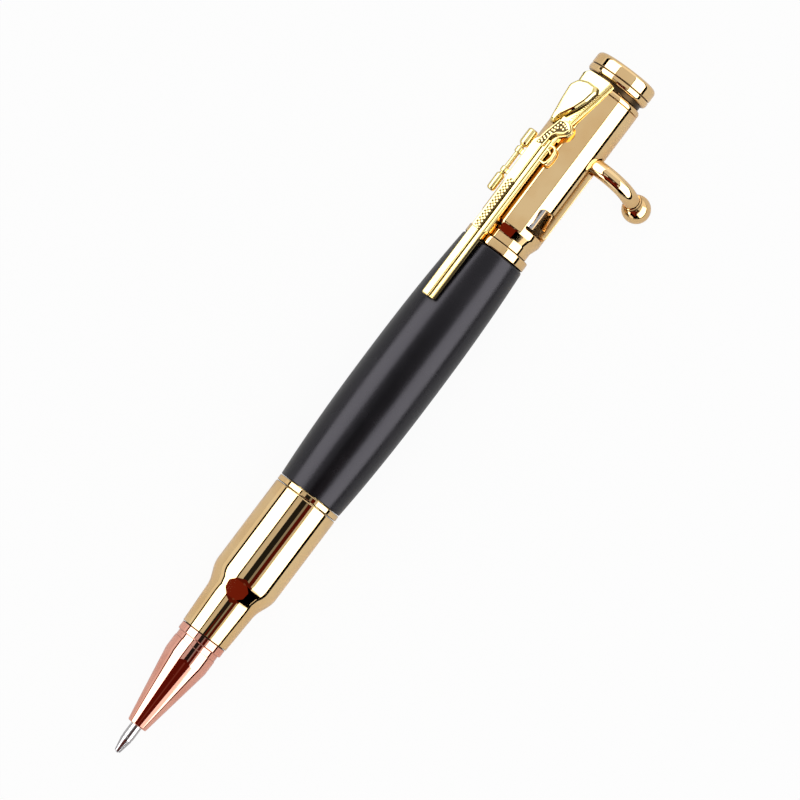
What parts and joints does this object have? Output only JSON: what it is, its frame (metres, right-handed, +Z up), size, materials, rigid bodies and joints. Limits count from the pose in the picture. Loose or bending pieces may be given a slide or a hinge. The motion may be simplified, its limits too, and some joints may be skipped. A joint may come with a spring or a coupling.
{
  "type": "ballpoint pen",
  "caption": "Bolt-action ballpoint pen with a cartridge-shaped lower barrel, a black centre barrel and a rifle-shaped clip.",
  "frame": {"origin": "centre of the flat end face of the cap end, on the pen's axis", "axes": "+X along the pen's axis, out of the cap end, so the writing point looks along -X; +Z up, with the pen lying on a table on its belly and its bolt knob; the bolt handle is on the -Y side"},
  "size_m": [0.1422, 0.0237, 0.0156],
  "materials": {
    "gold_plate": "polished gold plating",
    "copper_plate": "polished copper plating",
    "black_resin": "satin",
    "bare_brass": "turned",
    "bright_steel": "polished",
    "refill_metal": "drawn tube",
    "refill_plastic": "moulded"
  },
  "bodies": {
    "pen_body": {"cartridge_body": "gold_plate", "trim_ring": "gold_plate", "lower_coupler": "bare_brass", "barrel_sleeve": "black_resin", "barrel_tube": "bare_brass", "upper_coupler": "gold_plate", "receiver": "gold_plate", "receiver_bush": "bare_brass", "clip_ring": "gold_plate"},
    "nose": {"nose_cone": "copper_plate"},
    "bolt": {"bolt_carrier": "bare_brass", "bolt_plunger": "bright_steel", "bolt_handle": "gold_plate", "bolt_knob": "gold_plate"},
    "refill": {"refill_tube": "refill_metal", "refill_end_cap": "refill_plastic", "nib_tube": "bright_steel", "writing_ball": "bright_steel", "refill_spring": "bright_steel"},
    "clip": {"rifle_clip": "gold_plate"},
    "cap": {"finial": "gold_plate"}
  },
  "joints": [
    {"name": "bolt_slide", "type": "slide", "parent": "pen_body", "child": "bolt", "axis": [-1, 0, 0], "range_m": [0, 0.0139]},
    {"name": "refill_slide", "type": "slide", "parent": "pen_body", "child": "refill", "axis": [-1, 0, 0], "range_m": [-0.0137, 0], "deforming": ["refill_spring"]},
    {"name": "nose_off", "type": "slide", "parent": "pen_body", "child": "nose", "axis": [-1, 0, 0], "range_m": [0, 0.03]},
    {"name": "clip_flex", "type": "hinge", "parent": "pen_body", "child": "clip", "pos_m": [-0.00452, 0.00269, 0.00533], "axis": [0, 0.8923, -0.4514], "range_deg": [0, 4], "stiffness_Nm_per_rad": 1},
    {"name": "finial_off", "type": "slide", "parent": "pen_body", "child": "cap", "axis": [1, 0, 0], "range_m": [0, 0.005]}
  ]
}
